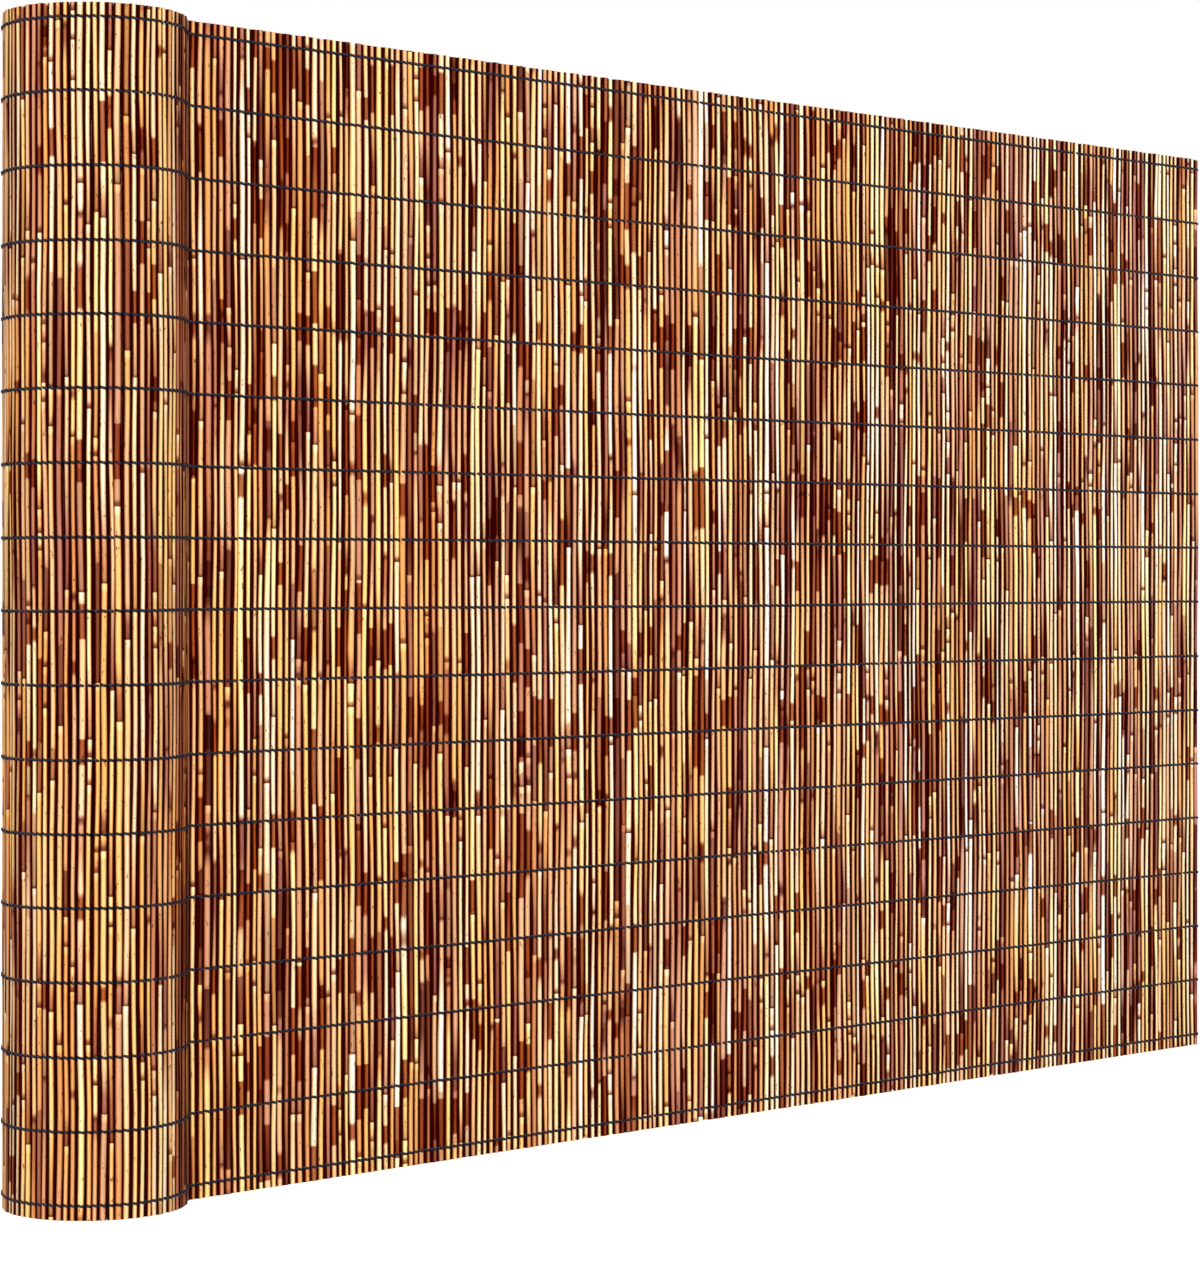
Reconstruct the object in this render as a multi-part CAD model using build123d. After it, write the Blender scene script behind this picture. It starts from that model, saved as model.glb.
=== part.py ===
from build123d import *
import math
import os

# A reed screen: upright reeds bound side by side with rows of wire, half of it unrolled.
# Lengths are in millimetres. The flat stretch runs along +X, its front faces -Y, and the
# reeds stand along +Z on the ground plane.

# Rows of binding wire and the length of the reeds
row_count = 17
row_pitch = 61.0
edge_margin = 12.0

# The reeds. Those of the rolled half are thinner, by the rolled share.
reed_diameter = 6.9
reed_gap = 0.6
diameter_spread = 0.12
spread_step = 2.4
rolled_share = 0.84
waist_thickness = 2.4

# The way that the mat takes, measured on the middle of its thickness
flat_length = 1424.0
roll_radius = 76.4
core_radius = 43.5
bend_radius = 10.0
flat_set_forward = 37.2

# The binding wire
wire_width = 2.2
wire_depth = 1.0
wire_clearance = 0.1
end_clearance = 0.1
turn_clearance = 0.1
wrap_angle = 352.0
wrap_steps = 18
bend_steps = 3
back_reach = 0.55

# Slits of daylight between neighbouring reeds
slit_count = 40
slit_width = 1.2
slit_end_margin = 6.0
slit_shortening = 18.0
slit_reed_steps = 71
slit_bay_steps = 5
slit_edge_count = 4

# Sizes that follow from the ones above
reed_length = (row_count - 1) * row_pitch + 2 * edge_margin
reed_pitch = reed_diameter + reed_gap
turn_pitch = rolled_share * reed_diameter + 2 * wire_depth + turn_clearance
largest_radius = reed_diameter / 2 * (1 + diameter_spread)

# Where the reverse bend touches the roll and the flat stretch, about the roll's axis
touch_angle = -math.asin((flat_set_forward + bend_radius) / (roll_radius + bend_radius))
bend_turn = math.pi / 2 + touch_angle
bend_length = bend_radius * bend_turn
bend_x = (roll_radius + bend_radius) * math.cos(touch_angle)
bend_y = (roll_radius + bend_radius) * math.sin(touch_angle)
rolled_length = math.pi * (roll_radius**2 - core_radius**2) / turn_pitch
mat_length = flat_length + bend_length + rolled_length


def roll_angle(run):
    """The angle wound, in radians, after a run along the roll from its outer end."""
    left = roll_radius**2 - turn_pitch * run / math.pi
    return 2 * math.pi * (roll_radius - math.sqrt(left)) / turn_pitch


def run_at(angle):
    """The run along the roll, from its outer end, that winds up an angle."""
    return roll_radius * angle - turn_pitch * angle**2 / (4 * math.pi)


def mat_point(station, offset):
    """A point of the plan, a station along the mat from its free end, offset to the front."""
    if station <= flat_length:
        return (bend_x + flat_length - station, -flat_set_forward - offset)
    if station <= flat_length + bend_length:
        turned = (station - flat_length) / bend_radius
        reach = bend_radius - offset
        return (bend_x - reach * math.sin(turned), bend_y + reach * math.cos(turned))
    wound = roll_angle(station - flat_length - bend_length)
    reach = roll_radius - turn_pitch * wound / (2 * math.pi) + offset
    direction = touch_angle - wound
    return (reach * math.cos(direction), reach * math.sin(direction))


def reed_spans():
    """The start and the width of every reed along the mat, from the free end inwards."""
    spans = []
    start = 0.0
    index = 0
    while True:
        width = reed_pitch * (1 + diameter_spread * math.sin(spread_step * index * index))
        if start > flat_length:
            width *= rolled_share
        if start + width > mat_length:
            return spans
        spans.append((start, width))
        start += width
        index += 1


def mat_outline(spans):
    """The plan of the mat: a ridge on both faces for each reed, and a waist between reeds."""
    waist = waist_thickness / 2
    front = [mat_point(0.0, waist)]
    back = [mat_point(0.0, -waist)]
    for start, width in spans:
        crest = width * reed_diameter / reed_pitch / 2
        front.append(mat_point(start + width / 2, crest))
        front.append(mat_point(start + width, waist))
        back.append(mat_point(start + width / 2, -crest))
        back.append(mat_point(start + width, -waist))
    return front + back[::-1]


def reed_mat(spans):
    """The mat as one wall, with slits of daylight between some reeds of its flat stretch."""
    plan = make_face(Polyline(*mat_outline(spans), close=True))
    wall = extrude(plan, reed_length)
    flat_reeds = sum(1 for start, width in spans if start + width < flat_length)
    choice = flat_reeds - 2 * slit_edge_count
    bays = row_count - 1
    slits = []
    for index in range(slit_count):
        reed = slit_edge_count + index * slit_reed_steps % choice
        bay = index * slit_bay_steps % bays
        x, y = mat_point(spans[reed][0], 0.0)
        height = row_pitch - wire_width - 2 * slit_end_margin
        height -= slit_shortening * (index % 3) / 2
        middle = edge_margin + (bay + 0.5) * row_pitch
        slits.append(Pos(x, y, middle) * Box(slit_width, 2 * reed_diameter, height))
    return wall - slits


def binding_outline():
    """The plan of one row of wire: along the front, round the end reed and along the back."""
    seat = largest_radius + wire_clearance
    rolled_seat = rolled_share * largest_radius + wire_clearance
    wrap_step = math.radians(wrap_angle) / wrap_steps
    lift = roll_radius * (1 / math.cos(wrap_step / 2) - 1)
    turn_step = bend_turn * back_reach / bend_steps
    back_lift = bend_radius * (1 / math.cos(turn_step / 2) - 1)
    outer = []
    inner = []
    for step in range(wrap_steps, -1, -1):
        station = flat_length + bend_length + run_at(step * wrap_step)
        inner.append(mat_point(station, rolled_seat + lift))
        outer.append(mat_point(station, rolled_seat + lift + wire_depth))
    for step in range(bend_steps - 1, -1, -1):
        station = flat_length + bend_length * step / bend_steps
        inner.append(mat_point(station, seat))
        outer.append(mat_point(station, seat + wire_depth))
    for side in (1, -1):
        inner.append(mat_point(-end_clearance, side * seat))
        outer.append(mat_point(-end_clearance - wire_depth, side * (seat + wire_depth)))
    for step in range(bend_steps + 1):
        station = flat_length + bend_length * back_reach * step / bend_steps
        rise = seat + (back_lift if step else 0.0)
        inner.append(mat_point(station, -rise))
        outer.append(mat_point(station, -rise - wire_depth))
    return outer + inner[::-1]


def binding_wire(row):
    """One row of wire at its height on the reeds."""
    plan = make_face(Polyline(*binding_outline(), close=True))
    height = edge_margin + row * row_pitch - wire_width / 2
    return Pos(0, 0, height) * extrude(plan, wire_width)


# The origin is the middle of the whole object in plan, at the lower ends of the reeds
os.makedirs("parts", exist_ok=True)
mat = reed_mat(reed_spans())
wires = [binding_wire(row) for row in range(row_count)]
middle = mat.bounding_box().add(wires[0].bounding_box()).center()
to_origin = Pos(-middle.X, -middle.Y, 0)
export_step(to_origin * mat, "parts/reed_mat.step")
for row, wire in enumerate(wires, 1):
    export_step(to_origin * wire, f"parts/binding_wire_{row:02d}.step")
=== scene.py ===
import math

import bpy
import numpy as np
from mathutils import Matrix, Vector


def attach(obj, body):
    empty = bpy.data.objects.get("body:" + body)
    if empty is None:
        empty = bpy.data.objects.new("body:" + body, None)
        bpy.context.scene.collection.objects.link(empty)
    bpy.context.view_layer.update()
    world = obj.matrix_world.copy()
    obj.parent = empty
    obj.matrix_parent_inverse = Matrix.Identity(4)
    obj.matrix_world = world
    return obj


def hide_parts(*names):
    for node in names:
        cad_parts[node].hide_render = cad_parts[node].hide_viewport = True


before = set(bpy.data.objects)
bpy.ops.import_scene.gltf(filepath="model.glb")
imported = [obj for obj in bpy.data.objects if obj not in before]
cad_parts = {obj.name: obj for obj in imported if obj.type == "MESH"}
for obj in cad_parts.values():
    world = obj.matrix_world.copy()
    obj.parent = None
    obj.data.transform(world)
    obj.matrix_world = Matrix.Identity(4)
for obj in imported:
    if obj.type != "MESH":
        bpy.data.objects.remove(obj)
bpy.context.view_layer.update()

# A reed screen, half rolled up. Lengths are in metres and colours are sRGB hex codes. A range
# that random draws are spread over evenly is given as the pair of its ends.

# Rows of binding wire, the reeds and their uneven widths, as in the solids
row_count = 17
row_pitch = 0.061
edge_margin = 0.012
reed_diameter = 0.0069
reed_pitch = 0.0075
diameter_spread = 0.12
spread_step = 2.4
rolled_share = 0.84

# The way that the mat takes in plan, as in the solids
flat_length = 1.424
roll_radius = 0.0764
core_radius = 0.0435
bend_radius = 0.010
flat_set_forward = 0.0372
turn_pitch = 0.007896

# Lengths and places that follow from them
reed_length = (row_count - 1) * row_pitch + 2 * edge_margin
touch_angle = -math.asin((flat_set_forward + bend_radius) / (roll_radius + bend_radius))
bend_length = bend_radius * (math.pi / 2 + touch_angle)
bend_x = (roll_radius + bend_radius) * math.cos(touch_angle)
bend_y = (roll_radius + bend_radius) * math.sin(touch_angle)
rolled_length = math.pi * (roll_radius**2 - core_radius**2) / turn_pitch
mat_length = flat_length + bend_length + rolled_length
outer_turn_end = flat_length + bend_length + 2.0 * math.pi * roll_radius

# Detail of the meshes. The turns inside the roll are plainer, apart from the innermost reeds.
reed_sides = 10
inner_reed_sides = 8
innermost_reeds = 40
ring_spacing = 0.045
inner_ring_spacing = 0.12
ring_room = 0.006
end_room = 0.0008
sharp_angle = math.radians(50)
random_seed = 41

# Lengths of the internodes, of the sheath on the foot of most and of the dark head on some
internode_lengths = (0.13, 0.31)
first_cuts = (0.01, 0.31)
short_joint_lengths = (0.014, 0.034)
short_joint_chance = 0.16
sheath_lengths = (0.012, 0.120)
sheath_chance = 0.70
sheath_room = 0.016
least_sheath = 0.009
fading_chance = 0.7
fade_share = 0.4
rim_tilts = (0.001, 0.004)
dark_head_lengths = (0.02, 0.10)
dark_head_chance = 0.30
dark_head_room = 0.03

# Heights of the rings above an internode's foot, round a sheath's rim and below the head
scar_height = 0.0006
collar_height = 0.0030
foot_height = 0.0064
below_rim = 0.0002
above_rim = 0.0004
past_rim = 0.0060
neck_drop = 0.0080
bulge_drop = 0.0045
crown_drop = 0.0007

# Swells, as shares of the reed's width
node_bulge = 0.055
scar_swell = 0.2 * node_bulge
neck_swell = 0.3 * node_bulge
joint_dip = 0.02
sheath_swell = 0.035
taper = 0.05
taper_shares = (0.2, 1.0)
side_fill = 1.07

# How a reed leans along the mat and stands proud of it. A wave of the lean has a size, and
# its turns in radians for each metre up the reed and along the mat.
sway_size = 0.0013
sway_waves = [(1.0, 7.1, 9.0), (0.6, 17.3, -14.0), (0.35, 41.0, 5.0)]
kink_size = 0.00045
kink_count = 10
proud_size = 0.0002
proud_count = 9

# The cut ends, with a hollow whose width is a share of the reed's, and its well coloured dark as
# painted shade
tip_shortfall = 0.0006
end_hollow = 0.62
well_narrowing = 0.9
end_depth = 0.012
cut_shade = 1.6
painted_well_shade = 6.8
painted_well_dimming = 0.4

# Shades of dry, stained reed, from pale to dark. A level is a place in this palette.
shades = ["FCE9B6", "F8D496", "EEBC7C", "DCA26B", "C48059", "A2624A", "7E442B", "5A2716"]
shade_names = ["cream", "straw", "honey", "amber", "copper", "rust", "chestnut", "umber"]
shade_means = [0.5, 1.1, 1.7, 2.2, 2.8, 3.3, 3.9, 4.6]
shade_weights = [0.22, 0.24, 0.22, 0.13, 0.08, 0.05, 0.04, 0.02]
shade_spread = 1.1
inner_shade_spread = 0.7
head_paling = 1.3
cover_darkening = (1.0, 3.4)
rim_dimming = 0.8
scar_levels = (5.5, 6.9)

# The reeds of the fold beside the roll take a dark shade: painted shade in the crease
painted_fold_shade = 6
fold_start = flat_length - 0.005
fold_end = flat_length + bend_length + 0.040


def linear(code):
    """A linear RGB triple from an sRGB hex colour."""
    parts = [int(code[i:i + 2], 16) / 255 for i in (0, 2, 4)]
    return np.array([c / 12.92 if c <= 0.04045 else ((c + 0.055) / 1.055) ** 2.4 for c in parts])


def rgba(code):
    """A linear RGBA tuple from an sRGB hex colour."""
    return (*linear(code), 1.0)


palette = np.array([linear(code) for code in shades])


def shade_colour(level):
    """The colour at a level of the palette, between shades where the level is no whole number."""
    level = np.clip(level, 0, len(palette) - 1)
    return np.stack([np.interp(level, np.arange(len(palette)), palette[:, c]) for c in range(3)], -1)


def roll_place():
    """Where the roll's axis stands in plan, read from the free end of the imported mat."""
    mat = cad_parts["reed_mat"]
    places = np.array([mat.matrix_world @ v.co for v in mat.data.vertices])
    end_x = places[:, 0].max()
    end_y = places[places[:, 0] > end_x - 1e-5, 1].mean()
    return end_x - bend_x - flat_length, end_y + flat_set_forward


roll_x, roll_y = roll_place()


def mat_point(station, offset):
    """Plan places for stations along the mat from its free end, offset towards the front."""
    station = np.asarray(station, float)
    turned = (station - flat_length) / bend_radius
    inside = bend_radius - offset
    run = np.clip(station - flat_length - bend_length, 0, rolled_length)
    wound = 2 * math.pi * (roll_radius - np.sqrt(roll_radius**2 - turn_pitch * run / math.pi))
    wound /= turn_pitch
    reach = roll_radius - turn_pitch * wound / (2 * math.pi) + offset
    on_flat = station <= flat_length
    on_bend = station <= flat_length + bend_length
    x = np.where(on_bend, bend_x - inside * np.sin(turned), reach * np.cos(touch_angle - wound))
    y = np.where(on_bend, bend_y + inside * np.cos(turned), reach * np.sin(touch_angle - wound))
    x = np.where(on_flat, bend_x + flat_length - station, x)
    y = np.where(on_flat, -flat_set_forward - offset, y)
    return np.stack([roll_x + x, roll_y + y], -1)


def reed_spans():
    """The start and the width of every reed along the mat, from the free end inwards."""
    spans = []
    start = 0.0
    index = 0
    while True:
        width = reed_pitch * (1 + diameter_spread * math.sin(spread_step * index * index))
        if start > flat_length:
            width *= rolled_share
        if start + width > mat_length:
            return spans
        spans.append((start, width))
        start += width
        index += 1


spans = reed_spans()


def mesh_piece(name, places, quads, corners, material, extras):
    """A smooth mesh object of quads, with a UV map for the corners and point attributes."""
    mesh = bpy.data.meshes.new(name)
    mesh.vertices.add(len(places))
    mesh.vertices.foreach_set("co", places.astype(np.float32).ravel())
    mesh.loops.add(quads.size)
    mesh.loops.foreach_set("vertex_index", quads.astype(np.int32).ravel())
    mesh.polygons.add(len(quads))
    mesh.polygons.foreach_set("loop_start", np.arange(0, quads.size, 4, dtype=np.int32))
    mesh.update(calc_edges=True)
    layer = mesh.uv_layers.new(name="OFBake")
    layer.data.foreach_set("uv", corners.astype(np.float32).ravel())
    for label, kind, field, values in extras:
        held = mesh.attributes.new(label, kind, "POINT")
        held.data.foreach_set(field, values.astype(np.float32).ravel())
    mesh.polygons.foreach_set("use_smooth", np.ones(len(quads), bool))
    mesh.set_sharp_from_angle(angle=sharp_angle)
    mesh.materials.append(material)
    piece = bpy.data.objects.new(name, mesh)
    bpy.context.scene.collection.objects.link(piece)
    return piece


def tube_quads(count, sides):
    """The quads of a tube of so many rings, with the ring and the side that each starts at."""
    ring, side = np.meshgrid(np.arange(count - 1), np.arange(sides), indexing="ij")
    ring = ring.ravel()
    side = side.ravel()
    after = (side + 1) % sides
    quads = np.stack([
        ring * sides + side,
        ring * sides + after,
        (ring + 1) * sides + after,
        (ring + 1) * sides + side,
    ], -1)
    return quads, ring, side


def ring_row(height, colour, swell=0.0, tilt=0.0, stain=1.0):
    """One ring of a reed. A stain above one widens the painted groove shade beside its clean strip.
    """
    return [height, swell, tilt, *colour, stain]


def internode_rings(rng, foot, length, level):
    """The rings of one internode: the scar at its foot, its sheath if any, and its head."""
    head = foot + length
    bare = shade_colour(level)
    top = shade_colour(level - head_paling)
    cover = shade_colour(level + rng.uniform(*cover_darkening))
    dark = shade_colour(rng.uniform(*scar_levels))
    sheath = 0.0
    if rng.random() < sheath_chance:
        sheath = min(rng.uniform(*sheath_lengths), length - sheath_room)
    sheathed = sheath > least_sheath
    tilt = rng.uniform(*rim_tilts) if sheathed else 0.0
    # Sheathed stretches and dark heads widen the painted shade of the grooves
    wide = wedge_width if sheathed else 1.0
    rim = foot + sheath
    rows = [
        ring_row(foot + scar_height, dark, scar_swell, stain=wide),
        ring_row(foot + collar_height, 0.5 * dark + 0.5 * cover, sheath_swell, stain=wide),
    ]
    if sheathed and rng.random() < fading_chance:
        rows.append(ring_row(foot + fade_share * sheath, cover, 0.5 * sheath_swell, stain=wide))
        rows.append(ring_row(rim, bare))
    elif sheathed:
        rows.append(ring_row(rim - below_rim, rim_dimming * cover, sheath_swell, tilt))
        rows.append(ring_row(rim + above_rim, 0.5 * bare + 0.5 * cover, 0.0, tilt))
        rows.append(ring_row(rim + past_rim, bare))
    else:
        rows.append(ring_row(foot + foot_height, bare))
    dark_head = rng.uniform(*dark_head_lengths)
    if rng.random() < dark_head_chance and length - sheath > dark_head + dark_head_room:
        rows.append(ring_row(head - dark_head, bare))
        rows.append(ring_row(head - fade_share * dark_head, cover, stain=wedge_width))
        rows.append(ring_row(head - bulge_drop, cover, node_bulge, stain=wedge_width))
        rows.append(ring_row(head - crown_drop, dark, node_bulge, stain=wedge_width))
    else:
        rows.append(ring_row(head - neck_drop, bare, neck_swell))
        rows.append(ring_row(head - bulge_drop, top, node_bulge))
        rows.append(ring_row(head - crown_drop, top, node_bulge))
    rows.append(ring_row(head, dark, -joint_dip))
    return rows


def plain_rings(rng, shade):
    """The rings of a reed inside the roll, with no nodes."""
    heights = np.arange(0, reed_length + inner_ring_spacing, inner_ring_spacing)
    heights = np.clip(heights, 0, reed_length)
    count = len(heights)
    tone = shade_colour(np.full(count, shade) + rng.normal(0, inner_shade_spread, count))
    return np.column_stack([heights, np.zeros((count, 2)), tone, np.ones(count)])


def reed_rings(rng, shade):
    """The rings of a reed in view, from foot to tip, with others evenly between the nodes."""
    rows = []
    foot = -rng.uniform(*first_cuts)
    while foot < reed_length:
        length = rng.uniform(*internode_lengths)
        if rng.random() < short_joint_chance:
            length = rng.uniform(*short_joint_lengths)
        level = shade + rng.normal(0, shade_spread)
        rows += internode_rings(rng, foot, length, level)
        foot += length
    rows = np.array(rows)
    rows = rows[np.argsort(rows[:, 0], kind="stable")]
    grid = np.arange(0, reed_length + ring_spacing, ring_spacing)
    grid[-1] = reed_length
    near = np.abs(grid[:, None] - rows[None, :, 0]).min(1)
    grid = grid[(near > ring_room) | (grid == 0) | (grid == reed_length)]
    added = np.stack([np.interp(grid, rows[:, 0], rows[:, c]) for c in range(rows.shape[1])], -1)
    added[:, 0] = grid
    kept = (rows[:, 0] > end_room) & (rows[:, 0] < reed_length - end_room)
    rings = np.concatenate([rows[kept], added])
    return rings[np.argsort(rings[:, 0], kind="stable")]


def sway(station, height):
    """How far the reeds lean along the mat, alike for neighbours, as a share of the sway."""
    waves = [size * np.sin(up * height + along * station) for size, up, along in sway_waves]
    return sum(waves) / 2


def end_quads(outer, inner, well, sides, flip):
    """Quads of a cut end: the rim, the wall of the hollow and its bottom."""
    j = np.arange(sides)
    after = (j + 1) % sides
    rim = np.stack([outer + j, outer + after, inner + after, inner + j], -1)
    wall = np.stack([inner + j, inner + after, well + after, well + j], -1)
    k = np.arange(sides // 2 - 1)
    floor = np.stack([well + k, well + k + 1, well + sides - 2 - k, well + sides - 1 - k], -1)
    quads = np.concatenate([rim, wall, floor])
    return quads[:, ::-1] if flip else quads


def grow_reed(index, detailed, shade, strip, strips):
    """Places, quads, corner map and attributes of one reed, on its strip of the map."""
    rng = np.random.default_rng([random_seed, index])
    start, width = spans[index]
    station = start + width / 2
    sides = reed_sides if detailed else inner_reed_sides
    rings = reed_rings(rng, shade) if detailed else plain_rings(rng, shade)
    count = len(rings)
    heights = rings[:, 0]
    half_side = width / 2 * side_fill
    half_deep = width / 2 * reed_diameter / reed_pitch
    swell = 1 + rings[:, 1]
    swell += taper * (0.5 - heights / reed_length) * rng.uniform(*taper_shares)
    kinks = rng.normal(0, kink_size, kink_count)
    kinks = np.interp(heights, np.linspace(0, reed_length, kink_count), kinks)
    lean = sway_size * sway(station, heights) + kinks
    bows = rng.uniform(-proud_size, proud_size, proud_count)
    proud = np.interp(heights, np.linspace(0, reed_length, proud_count), bows)
    if not detailed:
        lean = np.zeros(count)
        proud = np.zeros(count)

    angle = 2 * math.pi * np.arange(sides) / sides
    middle = mat_point(station, 0.0)
    front = mat_point(station, reed_diameter) - middle
    front /= np.linalg.norm(front)
    along = np.array([front[1], -front[0]])
    sideways = lean[:, None] + half_side * swell[:, None] * np.cos(angle)
    forward = proud[:, None] + half_deep * swell[:, None] * np.sin(angle)
    plan = middle + sideways[..., None] * along + forward[..., None] * front
    tip = rng.uniform(-tip_shortfall, 0.0)
    tilt_turn = rng.uniform(0, 2 * math.pi)
    rise = heights[:, None] + rings[:, 2][:, None] * np.cos(angle - tilt_turn)
    rise = np.clip(rise, 0.0, reed_length)
    rise[-1] += tip
    body = np.concatenate([plan, rise[..., None]], -1).reshape(-1, 3)

    def cut_end(row, height, inward):
        """The two rings of the hollow in a cut end: its rim and its well."""
        centre = middle + lean[row] * along + proud[row] * front
        rim = centre + end_hollow * (plan[row] - centre)
        well = centre + well_narrowing * end_hollow * (plan[row] - centre)
        top = np.column_stack([rim, np.full(sides, height)])
        low = np.column_stack([well, np.full(sides, height + inward * end_depth)])
        return np.concatenate([top, low])

    foot_end = cut_end(0, 0.0, 1)
    tip_end = cut_end(count - 1, reed_length + tip, -1)
    places = np.concatenate([body, foot_end, tip_end])
    tube, ring, side = tube_quads(count, sides)
    base = count * sides
    foot_quads = end_quads(0, base, base + sides, sides, True)
    tip_quads = end_quads(base - sides, base + 2 * sides, base + 3 * sides, sides, False)
    quads = np.concatenate([tube, foot_quads, tip_quads])
    corners = reed_map(rise, ring, side, sides, foot_quads, tip_quads, strip, strips)

    tone = np.repeat(rings[:, 3:6], sides, 0)
    cut_tone = shade_colour(np.full(sides, cut_shade))
    # Painted shade darkens the well of each cut end's hollow
    painted_well_tone = shade_colour(np.full(sides, painted_well_shade)) * painted_well_dimming
    tone = np.concatenate([tone, cut_tone, painted_well_tone, cut_tone, painted_well_tone])
    # The flank round each reed, from which the material paints shade in the grooves
    flank = np.outer(rings[:, 6], np.cos(angle)).ravel()
    flank = np.concatenate([flank, np.zeros(4 * sides)])
    lot = np.full(len(places), rng.random())
    place = np.column_stack([np.full(len(places), station), lot, places[:, 2]])
    return places, quads, corners, tone, flank, place


# The map of a piece: a strip for each reed, with room above and below for its ends' discs. The
# discs' radii are shares of the strip's width and of that room, at the outer and inner edges of
# the rim, the wall of the hollow and its bottom.
map_room = 0.03
strip_share = 0.9
disc_width = 0.44
disc_height = 0.45
outer_radii = [1.0, 0.62, 0.30]
inner_radii = [0.66, 0.34, 0.30]


def reed_map(rise, ring, side, sides, foot_quads, tip_quads, strip, strips):
    """Corner places of a reed's strip of the map: its side up the strip, its ends in discs."""
    width = 1 / strips
    left = (strip + (1 - strip_share) / 2) * width
    across = strip_share * width / sides
    level = map_room + (1 - 2 * map_room) * rise / reed_length
    after = (side + 1) % sides
    low, low_after = level[ring, side], level[ring, after]
    high, high_after = level[ring + 1, side], level[ring + 1, after]
    u = left + across * np.stack([side, side + 1, side + 1, side], -1)
    v = np.stack([low, low_after, high_after, high], -1)
    tube = np.stack([u, v], -1)

    def disc(quads, height):
        """A cut end's corners on a small disc, from the rim at its edge to the well inside."""
        turn = 2 * math.pi * (quads % sides) / sides
        kind = np.repeat([0, 1, 2], [sides, sides, sides // 2 - 1])
        outer = np.array(outer_radii)[kind]
        inner = np.array(inner_radii)[kind]
        low_first = quads[:, :1] < quads[:, 2:3]
        ends = np.where(low_first, [0, 0, 1, 1], [1, 1, 0, 0])
        reach = np.where(ends == 0, outer[:, None], inner[:, None])
        x = (strip + 0.5) * width + disc_width * width * reach * np.cos(turn)
        y = height + disc_height * map_room * reach * np.sin(turn)
        return np.stack([x, y], -1)

    foot_disc = disc(foot_quads, map_room / 2)
    tip_disc = disc(tip_quads, 1 - map_room / 2)
    return np.concatenate([tube, foot_disc, tip_disc])


def gather(name, reeds, material):
    """One piece of many reeds, with a tone, a flank and a place for each point."""
    places, quads, *others = zip(*reeds)
    bases = np.cumsum([0] + [len(part) for part in places[:-1]])
    quads = np.concatenate([part + base for part, base in zip(quads, bases)])
    places = np.concatenate(places)
    corners, tone, flank, place = [np.concatenate(parts) for parts in others]
    extras = [
        ("tone", "FLOAT_COLOR", "color", np.column_stack([tone, np.ones(len(tone))])),
        ("flank", "FLOAT", "value", flank),
        ("reed_place", "FLOAT_VECTOR", "vector", place),
    ]
    return mesh_piece(name, places, quads, corners, material, extras)


class Tree:
    """The node tree of a material or a world, built by short calls."""

    def __init__(self, owner):
        self.owner = owner
        owner.use_nodes = True
        self.nodes = owner.node_tree.nodes
        self.links = owner.node_tree.links
        self.nodes.clear()

    def add(self, kind, inputs=None, **settings):
        """A node with its settings; inputs that are sockets are linked, others are values."""
        node = self.nodes.new("ShaderNode" + kind)
        for key, value in settings.items():
            setattr(node, key, value)
        for key, value in (inputs or {}).items():
            if isinstance(value, bpy.types.NodeSocket):
                self.links.new(value, node.inputs[key])
            else:
                node.inputs[key].default_value = value
        return node

    def math(self, operation, a, b=0.0):
        """An operation on two numbers."""
        return self.add("Math", {0: a, 1: b}, operation=operation).outputs[0]

    def blend(self, factor, a, b, mode="MIX"):
        """The mix of two colours."""
        node = self.add("Mix", {0: factor, 6: a, 7: b}, data_type="RGBA", blend_type=mode)
        return node.outputs[2]

    def tint(self, colour, factors):
        """A colour with each channel multiplied by a factor, and no channel above one."""
        node = self.add("VectorMath", {0: colour, 1: factors}, operation="MULTIPLY")
        node = self.add("VectorMath", {0: node.outputs[0], 1: (1.0, 1.0, 1.0)}, operation="MINIMUM")
        return node.outputs[0]

    def ramp(self, factor, low, high, start=0.0, end=1.0):
        """A smooth step of the factor from low to high, as a value from start to end."""
        node = self.add(
            "MapRange",
            {0: factor, 1: low, 2: high, 3: start, 4: end},
            interpolation_type="SMOOTHSTEP",
        )
        return node.outputs[0]

    def noise(self, vector, scale, detail=2.0, roughness=0.5):
        """Noise over a vector scaled by three factors."""
        mapped = self.add("Mapping", {"Vector": vector, "Scale": scale})
        node = self.add(
            "TexNoise",
            {"Vector": mapped.outputs[0], "Scale": 1.0, "Detail": detail, "Roughness": roughness},
        )
        return node.outputs[0]

    def seen(self):
        """One for what the camera sees, straight, in a reflection or through something clear."""
        path = self.add("LightPath").outputs
        straight = self.math("MAXIMUM", path["Is Camera Ray"], path["Is Glossy Ray"])
        return self.math("MAXIMUM", straight, path["Is Transmission Ray"])

    def finish(self, surface, output="OutputMaterial"):
        """Links the surface to the output, and gives the material or world."""
        self.add(output, {"Surface": surface})
        return self.owner


# Dark stained stretches: noise along the mat and up it, and noise of each reed's own. The scales
# are per metre, apart from the reed's own lot, which is a random number from 0 to 1.
stain_tint = "A66A4E"
cloud_scale = (11.0, 1.0, 13.0)
cloud_share = 0.30
own_scale = (1.0, 1.0, 14.0)
own_share = 0.90
lot_scale = 60.0
lot_shift = 0.075
stain_edge = (0.722, 0.738)
roll_stain_loss = 0.075
end_stain_loss = 0.040
end_stain_reach = 0.7

# Tints as factors of red, green and blue: away from the roll, on it, and from reed to reed
flat_tint = (1.14, 1.38, 1.95)
near_tint_share = 0.20
roll_tint = (0.89, 0.89, 0.95)
orange_tint = (1.03, 0.96, 0.70)
mild_tint = (0.98, 1.02, 1.28)
hue_scale = (1.0, 1.0, 4.0)
hue_edge = (0.36, 0.64)

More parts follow.
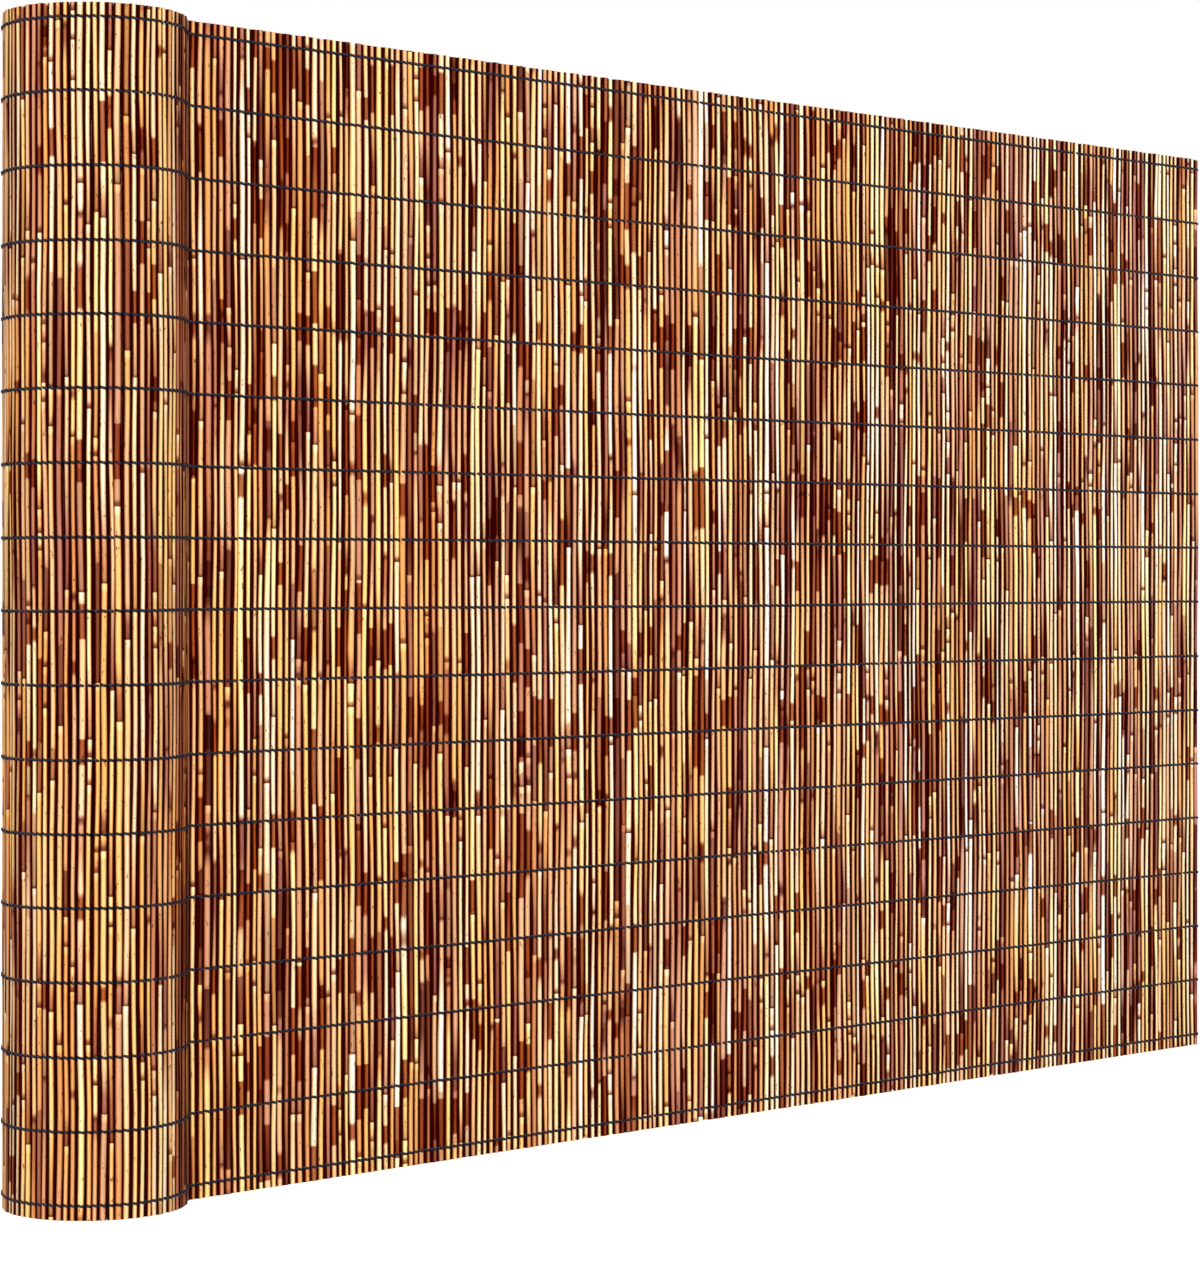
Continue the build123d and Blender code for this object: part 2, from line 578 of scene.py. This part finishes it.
# Fibres and flecks
fibre_scale = (1500.0, 1500.0, 22.0)
fibre_edge = (0.25, 0.75)
fibre_light = (0.80, 1.16)
fibre_relief = 0.0004
fibre_strength = 0.35
roughness_edge = (0.3, 0.7)
reed_roughness = (0.50, 0.36)
fleck_scale = (420.0, 420.0, 130.0)
fleck_edge = (0.64, 0.70)
fleck_strength = 0.75
fleck_colour = "4A1C0C"

# The clean strip up each reed and the painted shade of the groove beside it, in half widths from its
# middle
wander_scale = (1.0, 1.0, 6.0)
wander_reach = 0.9
strip_spread = 0.24
stain_reach = 0.10
wedge_width = 1.20
far_groove_gain = 0.06
roll_groove_loss = 0.02
# Painted shade darkens each clean strip towards its edges
painted_edge_shade = "E8C29A"
strip_edge = (0.12, 0.50)
painted_groove_shade = "2A0201"
groove_edge = (0.37, 0.68)
gloss_edge = (0.20, 0.50)
strip_gloss = 0.08


def reed_material():
    """Dry stained reed: tones along each reed, dark stained stretches, fibres and painted groove
    shade.
    """
    tree = Tree(bpy.data.materials.new("stained_reed"))
    tone = tree.add("Attribute", attribute_name="tone").outputs["Color"]
    flank = tree.add("Attribute", attribute_name="flank").outputs["Fac"]
    place = tree.add("Attribute", attribute_name="reed_place").outputs["Vector"]
    spot = tree.add("TexCoord").outputs["Object"]
    station, lot, height = tree.add("SeparateXYZ", {0: place}).outputs
    rolled = tree.math("GREATER_THAN", station, flat_length)

    # Stained stretches begin and end at another height on each reed
    shifted = tree.math("ADD", height, tree.math("MULTIPLY", lot, lot_shift))
    at_cloud = tree.add("CombineXYZ", {0: station, 1: 0.0, 2: shifted}).outputs[0]
    cloud = tree.noise(at_cloud, cloud_scale, 1.0, 0.6)
    spread_lot = tree.math("MULTIPLY", lot, lot_scale)
    at_lot = tree.add("CombineXYZ", {0: spread_lot, 1: 0.0, 2: height}).outputs[0]
    own = tree.noise(at_lot, own_scale, 0.0)
    cloud = tree.math("MULTIPLY", cloud, cloud_share)
    mixed = tree.math("ADD", cloud, tree.math("MULTIPLY", own, own_share))
    mixed = tree.math("SUBTRACT", mixed, tree.math("MULTIPLY", rolled, roll_stain_loss))
    end_loss = tree.ramp(station, 0.0, end_stain_reach, end_stain_loss, 0.0)
    mixed = tree.math("SUBTRACT", mixed, end_loss)
    stain = tree.ramp(mixed, *stain_edge)

    # Tints away from the roll, on the roll and from reed to reed
    tinted = tree.ramp(station, 0.0, flat_length, 1.0, near_tint_share)
    on_flat = tree.blend(tinted, tone, tree.tint(tone, flat_tint))
    tone = tree.blend(rolled, on_flat, tree.tint(tone, roll_tint))
    hue = tree.ramp(tree.noise(at_lot, hue_scale, 0.0), *hue_edge)
    tone = tree.blend(hue, tree.tint(tone, orange_tint), tree.tint(tone, mild_tint))
    stained = tree.blend(1.0, tone, rgba(stain_tint), "MULTIPLY")
    colour = tree.blend(stain, tone, stained)

    # Fibres along the reed and small dark flecks
    fibres = tree.noise(spot, fibre_scale, 3.0, 0.6)
    streak = tree.ramp(fibres, *fibre_edge, *fibre_light)
    streaked = tree.add("VectorMath", {0: colour, 3: streak}, operation="SCALE").outputs[0]
    flecks = tree.noise(spot, fleck_scale, 2.0, 0.7)
    fleck = tree.ramp(flecks, *fleck_edge, 0.0, fleck_strength)
    colour = tree.blend(fleck, streaked, rgba(fleck_colour))

    # Painted shade in the grooves leaves a clean strip on each reed, of uneven width and place
    wander = tree.noise(at_lot, wander_scale, 1.0)
    shift = tree.math("MULTIPLY", tree.math("SUBTRACT", wander, 0.5), wander_reach)
    off = tree.math("ABSOLUTE", tree.math("SUBTRACT", flank, shift))
    narrow = tree.math("MULTIPLY", tree.math("SUBTRACT", lot, 0.5), strip_spread)
    off = tree.math("ADD", off, narrow)
    off = tree.math("ADD", off, tree.math("MULTIPLY", stain, stain_reach))
    off = tree.math("ADD", off, tree.ramp(station, 0.0, flat_length, far_groove_gain, 0.0))
    off = tree.math("SUBTRACT", off, tree.math("MULTIPLY", rolled, roll_groove_loss))
    # Painted shade darkens each clean strip towards its edges
    edge_shaded = tree.blend(1.0, colour, rgba(painted_edge_shade), "MULTIPLY")
    colour = tree.blend(tree.ramp(off, *strip_edge), colour, edge_shaded)
    colour = tree.blend(tree.ramp(off, *groove_edge), colour, rgba(painted_groove_shade))

    relief = {"Strength": fibre_strength, "Distance": fibre_relief, "Height": fibres}
    bump = tree.add("Bump", relief)
    surface = tree.add(
        "BsdfPrincipled",
        {
            "Base Color": colour,
            "Roughness": tree.ramp(fibres, *roughness_edge, *reed_roughness),
            "Specular IOR Level": tree.ramp(off, *gloss_edge, strip_gloss, 0.0),
            "Normal": bump.outputs[0],
        },
    )
    return tree.finish(surface.outputs[0])


# The coated wire: two dark colours in small patches, and a paler one as a painted highlight on what
# stands proud
wire_colours = ("07060D", "17141F")
painted_highlight_colour = "2A2433"
wear_scale = (260.0, 260.0, 260.0)
wear_relief = 0.0002
wear_strength = 0.2
patch_edge = (0.35, 0.75)
painted_highlight_edge = (0.35, 0.95)
wear_edge = (0.3, 0.8)
wire_roughness = (0.34, 0.52)
wire_gloss = 0.12


def wire_material():
    """Dark navy coated wire, with a painted highlight on what stands proud."""
    tree = Tree(bpy.data.materials.new("coated_wire"))
    spot = tree.add("TexCoord").outputs["Object"]
    wear = tree.noise(spot, wear_scale, 2.0)
    crest_highlight = tree.add("Attribute", attribute_name="crest_highlight").outputs["Fac"]
    colour = tree.blend(tree.ramp(wear, *patch_edge), *[rgba(code) for code in wire_colours])
    colour = tree.blend(tree.ramp(crest_highlight, *painted_highlight_edge), colour, rgba(painted_highlight_colour))
    relief = {"Strength": wear_strength, "Distance": wear_relief, "Height": wear}
    bump = tree.add("Bump", relief)
    surface = tree.add(
        "BsdfPrincipled",
        {
            "Base Color": colour,
            "Roughness": tree.ramp(wear, *wear_edge, *wire_roughness),
            "Specular IOR Level": wire_gloss,
            "Normal": bump.outputs[0],
        },
    )
    return tree.finish(surface.outputs[0])


def make_reeds():
    """Every reed of the mat, gathered by shade. The inner turns of the roll are plainer."""
    material = reed_material()
    bundles = {name: [] for name in shade_names}
    weights = np.array(shade_weights) / sum(shade_weights)
    rng = np.random.default_rng(random_seed)
    drawn = rng.choice(len(shades), len(spans), p=weights)
    for index, shade in enumerate(drawn):
        # Painted shade in the crease: the reeds of the fold take a dark shade
        if fold_start < spans[index][0] < fold_end:
            shade = max(shade, painted_fold_shade)
        bundles[shade_names[shade]].append(index)
    for shade, (name, indices) in enumerate(bundles.items()):
        reeds = []
        for strip, index in enumerate(indices):
            detailed = spans[index][0] < outer_turn_end or index > len(spans) - innermost_reeds
            reeds.append(grow_reed(index, detailed, shade_means[shade], strip, len(indices)))
        piece = gather("reeds_" + name, reeds, material)
        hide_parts("reed_mat")
        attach(piece, "root")


# The binding wire: two strands, twisted half a turn between one reed and the next
strand_half_height = 0.0012
strand_half_depth = 0.00062
inner_strand_half = 0.0005
strand_sides = 6
strand_slope = 0.00055
cross_spread = 0.0007
shoulder_share = 0.33

# How a row wanders up and down: its reach, and its turns in radians per metre and per row
row_wander = 0.0003
wander_turn = 5.0
wander_step = 1.7

# The loop round the end reed
loop_clearance = 0.0001
loop_half_width = 0.0022
loop_bow = 0.0004

# The map of a row, cut into lines that lie one above the other
map_lines = 32
line_share = 0.8
caps_place = 0.999


def strand_points(hand):
    """The way of one strand along the mat, in front of every second reed and behind the rest."""
    points = []
    for index, (start, width) in enumerate(spans):
        side = hand if index % 2 == 0 else -hand
        crest = width / 2 * reed_diameter / reed_pitch + strand_half_depth
        shoulder = math.sqrt(max(crest**2 - (shoulder_share * width) ** 2, 0.0))
        middle = start + width / 2
        reach = shoulder_share * width
        if start < outer_turn_end:
            points.append((middle - reach, side * shoulder, -side * strand_slope, 0.0))
            # The middle point, at the crest, takes the painted highlight
            points.append((middle, side * crest, 0.0, 1.0))
            points.append((middle + reach, side * shoulder, side * strand_slope, 0.0))
            points.append((start + width, 0.0, side * cross_spread, 0.0))
        else:
            points.append((middle, side * crest, 0.0, 0.0))
    return np.array(points).T


def tube_rings(path, depth, height, sides):
    """Rings of a tube round a path, each square to it, of a half depth and a half height."""
    ahead = np.gradient(path, axis=0)
    ahead /= np.linalg.norm(ahead, axis=1)[:, None]
    up = np.array([0.0, 0.0, 1.0])
    across = np.cross(up, ahead)
    across /= np.linalg.norm(across, axis=1)[:, None]
    lift = np.cross(ahead, across)
    angle = 2 * math.pi * (np.arange(sides) + 0.5) / sides
    around = depth[:, None, None] * across[:, None, :] * np.cos(angle)[None, :, None]
    around = around + height[:, None, None] * lift[:, None, :] * np.sin(angle)[None, :, None]
    return path[:, None, :] + around


def end_loop(height):
    """Three points of the wire round the end reed."""
    x, y = mat_point(0.0, 0.0) + [strand_half_depth + loop_clearance, 0.0]
    return np.array([
        [x - loop_bow, y - loop_half_width, height],
        [x, y, height],
        [x - loop_bow, y + loop_half_width, height],
    ])


def wire_map(ring, side, count):
    """Corner places of a row's quads on the lines of its map, with the two ends in a corner."""
    run = np.arange(count) / count * map_lines
    line = np.floor(run)
    step = map_lines / count
    rise = line_share / strand_sides / map_lines
    u = (run - line)[ring]
    v = (line[ring] + (1 - line_share) / 2 + line_share * side / strand_sides) / map_lines
    u = np.stack([u, u, u + step, u + step], -1)
    v = np.stack([v, v + rise, v + rise, v], -1)
    return np.concatenate([np.stack([u, v], -1), np.full((4, 4, 2), caps_place)])


def make_wire(row, material):
    """One row of wire: both strands, joined round the end reed."""
    height = edge_margin + row * row_pitch
    ways = []
    outer = []
    crests = []
    for hand in (1, -1):
        station, offset, rise, crest_highlight = strand_points(hand)
        wander = row_wander * np.sin(wander_turn * station + wander_step * row)
        ways.append(np.column_stack([mat_point(station, offset), height + rise + wander]))
        outer.append(station < outer_turn_end)
        crests.append(crest_highlight)
    loop = end_loop(height + row_wander * math.sin(wander_step * row))
    path = np.concatenate([ways[0][::-1], loop, ways[1]])
    free = np.concatenate([outer[0][::-1], [True] * len(loop), outer[1]])
    # The crests carry the painted highlight
    crest_highlight = np.concatenate([crests[0][::-1], np.zeros(len(loop)), crests[1]])
    depth = np.where(free, strand_half_depth, inner_strand_half)
    tall = np.where(free, strand_half_height, inner_strand_half)
    places = tube_rings(path, depth, tall, strand_sides).reshape(-1, 3)
    count = len(path)
    tube, ring, side = tube_quads(count, strand_sides)
    first = np.array([[0, 1, 4, 5], [1, 2, 3, 4]])
    last = first + (count - 1) * strand_sides
    quads = np.concatenate([tube, first[:, ::-1], last])
    corners = wire_map(ring, side, count)
    extras = [("crest_highlight", "FLOAT", "value", np.repeat(crest_highlight, strand_sides))]
    name = f"binding_wire_{row + 1:02d}_strands"
    piece = mesh_piece(name, places, quads, corners, material, extras)
    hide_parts(f"binding_wire_{row + 1:02d}")
    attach(piece, "root")


# The camera stands level, as far from the roll as the photograph's perspective says
photo_height = 1270
focal_pixels = 3500.0
horizon_row = 577.0
view_turn = math.radians(44.06)
camera_from_roll = (-1.7415, -2.4132, 0.528)
sensor_size = 36.0
view_distance = 100.0


def make_camera():
    """The camera at the photograph's place."""
    data = bpy.data.cameras.new("camera")
    data.sensor_width = sensor_size
    data.lens = focal_pixels / photo_height * sensor_size
    data.shift_y = (horizon_row - photo_height / 2) / photo_height
    data.clip_end = view_distance
    camera = bpy.data.objects.new("camera", data)
    x, y, z = camera_from_roll
    camera.location = (roll_x + x, roll_y + y, z)
    camera.rotation_euler = (math.pi / 2, 0.0, -view_turn)
    bpy.context.scene.collection.objects.link(camera)
    bpy.context.scene.camera = camera


# Light: a large soft lamp high behind the camera, a weak one to its right and one behind the
# screen, each with its place, size and power, and an even world
light_target = (0.0, 0.0, 0.5)
lamps = {
    "key": ((-9.5, -10.4, 5.6), 3.4, 3000.0),
    "fill": ((2.5, -5.0, 2.0), 3.0, 24.0),
    "back": ((2.5, 6.0, 3.0), 3.0, 270.0),
}
world_light = 0.11
white = (1.0, 1.0, 1.0, 1.0)


def make_lights():
    """Soft studio lamps and an even world that the camera sees as white."""
    for name, (place, size, power) in lamps.items():
        data = bpy.data.lights.new(name, "AREA")
        data.shape = "SQUARE"
        data.size = size
        data.energy = power
        lamp = bpy.data.objects.new(name, data)
        lamp.location = place
        aim = Vector(light_target) - Vector(place)
        lamp.rotation_euler = aim.to_track_quat("-Z", "Y").to_euler()
        bpy.context.scene.collection.objects.link(lamp)
    tree = Tree(bpy.data.worlds.new("studio"))
    strength = tree.add("MapRange", {"Value": tree.seen(), "To Min": world_light, "To Max": 1.0})
    glow = tree.add("Background", {"Color": white, "Strength": strength.outputs[0]})
    bpy.context.scene.world = tree.finish(glow.outputs[0], "OutputWorld")


# The floor: its glow for the camera rises to white away from the screen, in metres from it
floor_size = 60.0
floor_grey = (0.5, 0.5, 0.5, 1.0)
floor_near = 2.0
floor_far = 9.0
floor_near_glow = 0.72


def make_floor():
    """A white floor under the reeds, which keeps the screen's soft shadow."""
    tree = Tree(bpy.data.materials.new("floor_white"))
    matt = tree.add("BsdfDiffuse", {"Color": floor_grey})
    spot = tree.add("TexCoord").outputs["Object"]
    away = tree.add("VectorMath", {0: spot}, operation="LENGTH").outputs["Value"]
    glow = tree.ramp(away, floor_near, floor_far, floor_near_glow, 1.0)
    glow = tree.math("MULTIPLY", tree.seen(), glow)
    glow = tree.add("Emission", {"Color": white, "Strength": glow})
    both = tree.add("AddShader", {0: matt.outputs[0], 1: glow.outputs[0]})
    half = floor_size / 2
    corners = [(-half, -half, 0), (half, -half, 0), (half, half, 0), (-half, half, 0)]
    mesh = bpy.data.meshes.new("floor")
    mesh.from_pydata(corners, [], [(0, 1, 2, 3)])
    mesh.materials.append(tree.finish(both.outputs[0]))
    floor = bpy.data.objects.new("floor", mesh)
    bpy.context.scene.collection.objects.link(floor)


make_camera()
make_reeds()
coated = wire_material()
for row in range(row_count):
    make_wire(row, coated)
make_lights()
make_floor()
bpy.context.scene.view_settings.view_transform = "Standard"
